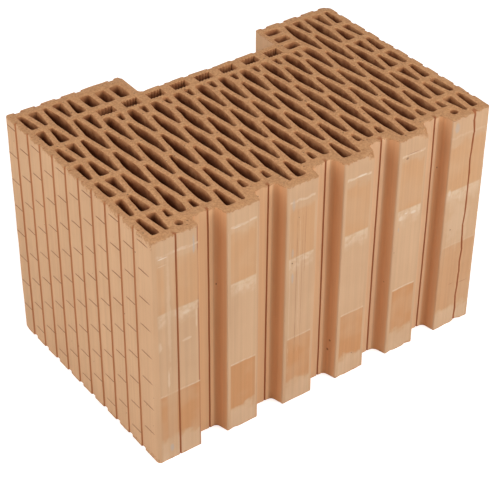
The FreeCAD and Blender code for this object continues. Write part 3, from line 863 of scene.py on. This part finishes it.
def bare_faces(clay):
    """Faces as they were fired, with painted shade and a painted highlight in the grooves.

    Soft clouds, warmer ends, and grooves that are redder, more so on the left, and a little brighter.
    Painted shade darkens the flanks of the grooves towards their base and the right edge of the left
    tongues, and a painted highlight brightens a strip of a groove's floor.
    """
    clouds = clay.fade(clay.noise(16, 3), 0.3, 0.7)
    face = clay.mixed(clouds, clay.tone("tan"), clay.tone("buff"))
    face = clay.paint(face, clay.both(clay.ends, 0.3), "warm")
    redder = clay.fade(clay.x, -0.09, 0.09, 0.9, 0.15)
    face = clay.paint(face, clay.both(clay.groove, redder), "clay")
    # Painted shade on the flanks of the grooves, darkest near their base.
    flank = clay.both(clay.groove, clay.strip(clay.aside, *FLANK_SHADE_STRIP))
    face = clay.paint(face, clay.both(flank, 0.8), "flank_shade")
    # Painted shade: a dark strip along the right edge of the left tongues, in the colour of the fine
    # lines.
    edge = clay.both(clay.strip(clay.sideways, *EDGE_SHADE_STRIP), clay.fade(clay.x, -0.13, -0.06, 0.7, 0))
    face = clay.paint(face, clay.both(clay.worked, edge), "score_and_shade")
    # Painted highlight: a strip of a groove's floor is made brighter.
    ledge_highlight = clay.both(clay.groove, clay.strip(clay.sideways, *LEDGE_HIGHLIGHT_STRIP))
    face = clay.scaled(face, clay.fade(ledge_highlight, 0, 1, 1, 1.18))
    return clay.scaled(face, clay.fade(clay.groove, 0, 1, 1, 1.09))


def kiln_patches(clay, face):
    """Patches that lay covered in the kiln: rust below, warm above, lime bloom along their edges."""
    chance = clay.node("ShaderNodeTexWhiteNoise", {"W": clay.tongue}, noise_dimensions="1D")
    chance = clay.maths("SUBTRACT", chance.outputs["Value"], 0.5)
    level = clay.maths("MULTIPLY_ADD", chance, PATCH_STEP, clay.z)
    kinds = {"level": level}
    for kind, swing in PATCH_EDGES:
        kinds[kind] = clay.maths("MULTIPLY_ADD", clay.ragged, swing, level)
    right_corner = clay.fade(clay.x, *CORNER_TONGUE)
    kinds["lower"] = clay.maths("MULTIPLY_ADD", right_corner, -RIGHT_RUST_RISE, kinds["neat"])

    across = clay.fade(clay.aside, *PATCH_SIDE, 1, 0)
    across = clay.maths("MAXIMUM", across, clay.fade(clay.from_middle, *CORNER_TONGUE))
    across = clay.both(across, clay.fade(clay.strip(clay.x, *STREAKED_STRIP), 0, 1, 1, 0.35))
    clouds = clay.fade(clay.noise(30, 2), 0.3, 0.6, 0.55, 1)
    seen = clay.both(clay.both(clay.front, across), clouds)
    blotches = clay.fade(clay.noise(150, 3, 0.6), 0.35, 0.6, 0.25, 1)
    rims = clay.both(seen, clay.fade(blotches, 0.25, 0.6, 0.4, 1))
    masks = {
        "seen": seen,
        "burnt": clay.both(seen, clay.fade(clay.x, *CORNER_TONGUE, 0.9, 0.5)),
        "bloom": clay.both(seen, blotches),
        "rims": clay.both(rims, clay.fade(clay.x, *CORNER_TONGUE, 1, 0.3)),
    }
    for name, mask, share, (low, *low_edge), (high, *high_edge) in PATCHES:
        patch = clay.both(clay.edge(kinds[low], *low_edge), clay.edge(kinds[high], *high_edge, 1, 0))
        face = clay.paint(face, clay.both(clay.both(masks[mask], share), patch), name)
    return face


def spots_and_specks(clay, face):
    """Smudges and cracks of the front, and burnt specks all over."""
    for x, z, half_wide, half_high, name, share in SPOTS:
        face = clay.paint(face, clay.both(clay.spot(x, z, half_wide, half_high), share), name)
    distance, pick = clay.cells(85)
    specks = clay.maths("LESS_THAN", distance, clay.fade(pick, 0.70, 1.0, 0.0, 0.075))
    return clay.paint(face, clay.both(specks, 0.7), "pit")


def bed_distance(clay):
    """How far the surface lies from the nearer bed."""
    low_gap = clay.maths("SUBTRACT", clay.z, float(LOW[2]))
    high_gap = clay.maths("SUBTRACT", float(HIGH[2]), clay.z)
    return clay.maths("MINIMUM", low_gap, high_gap)


def rough_share(clay, gap, hole):
    """Where the outer faces are torn: the chips, and a ragged rim, wide at the front of the ends."""
    shaken = clay.maths("SUBTRACT", clay.noise(300, 3, 0.6), 0.5)
    wide = clay.fade(clay.y, -0.10, 0.02, 0.28, 0.6)
    end = float(HIGH[0])
    gap = clay.both(gap, clay.fade(clay.from_middle, end - 2 * MM, end - MM, 1, wide))
    rim = clay.fade(clay.maths("MULTIPLY_ADD", shaken, 8 * MM, gap), 0.2 * MM, 1.5 * MM, 0.9, 0)
    rim = clay.both(rim, clay.maths("SUBTRACT", 1.0, hole))
    return clay.maths("MAXIMUM", clay.both(clay.mark("broken"), 0.9), rim)


def shaded_hole_walls(clay, gap):
    """Walls of the holes: like the bed at their rims, then painted shade, red brown and then nearly black
    deeper inside.
    """
    patchy = clay.maths("MULTIPLY_ADD", clay.ragged, 0.02, gap)
    depth = clay.mixed(clay.fade(patchy, 0.002, 0.018), clay.tone("hole_shade"), clay.tone("core"))
    return clay.mixed(clay.fade(patchy, -0.003, 0.008), clay.tone("bed"), depth)


def scored_lines(clay, surface):
    """A surface with its furrows, fine lines and nicks; the torn line of the right corner is ragged."""
    jagged = clay.both(clay.both(clay.worked, clay.ragged), clay.fade(clay.x, 0.150, 0.155, 0, 1.3))
    lined = clay.fade(clay.maths("ADD", clay.mark("line"), jagged), 0.4, 0.85)
    # The walls of furrows and lines: partly their own colour, partly painted shade.
    surface = clay.paint(surface, clay.both(lined, 0.85), "line")
    scored = clay.both(clay.worked, clay.fade(clay.x, -0.160, -0.150, 0.3, 0.48))
    surface = clay.paint(surface, clay.both(lined, scored), "score_and_shade")
    return clay.paint(surface, clay.fade(clay.mark("nick"), 0.1, 0.5, 0, 0.95), "nick")


def clay_material(colours, sizes):
    """Fired clay: tan faces with kiln patches, sandy beds and torn rims, hole walls darkened with painted
    shade, and scored lines.
    """
    material = bpy.data.materials.new("fired_clay")
    material.use_nodes = True
    clay = ClayNodes(material.node_tree, colours, sizes)
    streak = clay.noise(330, 3, 0.6, clay.stretched((1, 1, 0.012)))
    face = kiln_patches(clay, bare_faces(clay))
    face = clay.scaled(face, clay.fade(streak, 0.25, 0.75, 0.95, 1.04))
    face = spots_and_specks(clay, face)

    hole = clay.mark("hole")
    gap = bed_distance(clay)
    # The walls of the holes carry painted shade that darkens with depth.
    surface = clay.mixed(hole, face, shaded_hole_walls(clay, gap))
    grit = clay.noise(520, 3, 0.65)
    sandy = clay.mixed(clay.fade(grit, 0.35, 0.68), clay.tone("bed"), clay.tone("grain"))
    distance, pick = clay.cells(300)
    pits = clay.maths("LESS_THAN", distance, clay.fade(pick, 0.80, 1.0, 0.0, 0.30))
    sandy = clay.paint(sandy, clay.both(pits, 0.6), "pit")
    bed = clay.mark("bed")
    rough = rough_share(clay, gap, hole)
    torn = clay.maths("MAXIMUM", bed, rough)
    surface = clay.mixed(torn, surface, sandy)
    dull = clay.both(rough, clay.maths("SUBTRACT", 1.0, bed))
    surface = clay.scaled(surface, clay.fade(dull, 0.1, 0.9, 1.0, 0.8))
    surface = scored_lines(clay, surface)

    wear = clay.both(torn, clay.maths("SUBTRACT", grit, clay.both(pits, 0.5)))
    height = clay.maths("MULTIPLY_ADD", streak, 0.2, clay.both(clay.noise(900, 2), 0.16))
    height = clay.maths("MULTIPLY_ADD", wear, 1.1, height)
    bump = clay.node("ShaderNodeBump", {"Height": height, "Strength": 0.55, "Distance": 0.0009})
    clay.feed(material.node_tree.nodes["Principled BSDF"], {
        "Base Color": surface,
        "Normal": bump.outputs[0],
        "Roughness": 0.9,
        "Specular IOR Level": 0.2,
    })
    return material


class CLAY_OT_block(bpy.types.Operator):
    """Build the fired skin of the clay block round its CAD solid"""
    bl_idname = "clay.block"
    bl_label = "Build Clay Block"

    def execute(self, context):
        scene = context.scene
        piece = block_skin(scene.clay_sizes, clay_material(scene.clay_colours, scene.clay_sizes))
        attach(piece, BODY)
        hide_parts(NODE)
        return {"FINISHED"}


def direction(azimuth, elevation):
    """The direction away from the block at an azimuth and an elevation in degrees."""
    turn = math.radians(azimuth)
    rise = math.radians(elevation)
    return Vector((math.sin(turn) * math.cos(rise), -math.cos(turn) * math.cos(rise), math.sin(rise)))


def camera_axes(stage):
    """The camera's right, up and backward directions from its azimuth, elevation and roll."""
    back = direction(stage.azimuth, stage.elevation)
    right = Vector((0, 0, 1)).cross(back).normalized()
    up = back.cross(right)
    roll = math.radians(stage.roll)
    rolled_right = math.cos(roll) * right + math.sin(roll) * up
    rolled_up = math.cos(roll) * up - math.sin(roll) * right
    return rolled_right, rolled_up, back


def add_camera(stage):
    """The camera at the angle and distance of the photograph."""
    right, up, back = camera_axes(stage)
    place = MIDDLE + right * stage.slide_right + up * stage.slide_up + back * stage.distance
    lens = bpy.data.cameras.new("camera")
    lens.lens = stage.lens
    lens.sensor_width = SENSOR
    camera = add_object("camera", lens)
    camera.matrix_world = Matrix((right, up, back)).transposed().to_4x4()
    camera.location = place
    bpy.context.scene.camera = camera


def add_lamps():
    """Square soft boxes round the block, all aimed at its middle."""
    for name, azimuth, elevation, distance, side, power in LAMPS:
        back = direction(azimuth, elevation)
        lamp = bpy.data.lights.new(name, "AREA")
        lamp.size = side
        lamp.energy = power
        box = add_object(name, lamp)
        box.location = MIDDLE + back * distance
        box.rotation_euler = back.to_track_quat("Z", "Y").to_euler()


def add_floor(stage):
    """A pale floor that looks white to the camera where no shadow falls."""
    material = bpy.data.materials.new("floor")
    material.use_nodes = True
    wiring = Wiring(material.node_tree)
    wiring.feed(material.node_tree.nodes["Principled BSDF"], {
        "Base Color": PALE_GREY,
        "Roughness": 1.0,
        "Specular IOR Level": 0.0,
        "Emission Color": WHITE,
        "Emission Strength": wiring.maths("MULTIPLY", wiring.seen(), stage.floor_glow),
    })
    corners = stage.floor_size / 2 * np.array([[-1, -1, 0], [1, -1, 0], [1, 1, 0], [-1, 1, 0]])
    corners[:, 2] = LOW[2]
    floor = add_mesh("floor", corners, np.array([[0, 1, 2, 3]]), np.empty((0, 3), int), {}, material)


def add_world(stage):
    """An even grey sky for light, and white where the camera sees it."""
    world = bpy.data.worlds.new("studio")
    bpy.context.scene.world = world
    world.use_nodes = True
    wiring = Wiring(world.node_tree)
    strength = wiring.fade(wiring.seen(), 0.0, 1.0, stage.sky_light, 1.0)
    wiring.feed(world.node_tree.nodes["Background"], {"Color": WHITE, "Strength": strength})


class CLAY_OT_stage(bpy.types.Operator):
    """Set up the camera, the soft boxes, the pale floor and the white surround"""
    bl_idname = "clay.stage"
    bl_label = "Set Up Stage"

    def execute(self, context):
        stage = context.scene.clay_stage
        add_camera(stage)
        add_lamps()
        add_floor(stage)
        add_world(stage)
        context.scene.view_settings.view_transform = "Standard"
        return {"FINISHED"}


class CLAY_PT_panel(bpy.types.Panel):
    """Operators and sizes of the clay block"""
    bl_idname = "CLAY_PT_panel"
    bl_label = "Clay Block"
    bl_space_type = "VIEW_3D"
    bl_region_type = "UI"
    bl_category = "Clay Block"

    def draw(self, context):
        layout = self.layout
        layout.operator(CLAY_OT_block.bl_idname)
        layout.operator(CLAY_OT_stage.bl_idname)
        for group in (context.scene.clay_sizes, context.scene.clay_colours, context.scene.clay_stage):
            box = layout.box()
            for name in group.__annotations__:
                box.prop(group, name)


CLASSES = (ClayBlockSizes, ClayBlockColours, ClayBlockStage, CLAY_OT_block, CLAY_OT_stage, CLAY_PT_panel)
GROUPS = {"clay_sizes": ClayBlockSizes, "clay_colours": ClayBlockColours, "clay_stage": ClayBlockStage}


def register():
    for cls in CLASSES:
        bpy.utils.register_class(cls)
    for name, group in GROUPS.items():
        setattr(bpy.types.Scene, name, bpy.props.PointerProperty(type=group))


def unregister():
    for name in GROUPS:
        delattr(bpy.types.Scene, name)
    for cls in reversed(CLASSES):
        bpy.utils.unregister_class(cls)


def main():
    register()
    bpy.ops.clay.block()
    bpy.ops.clay.stage()


if __name__ == "__main__":
    main()
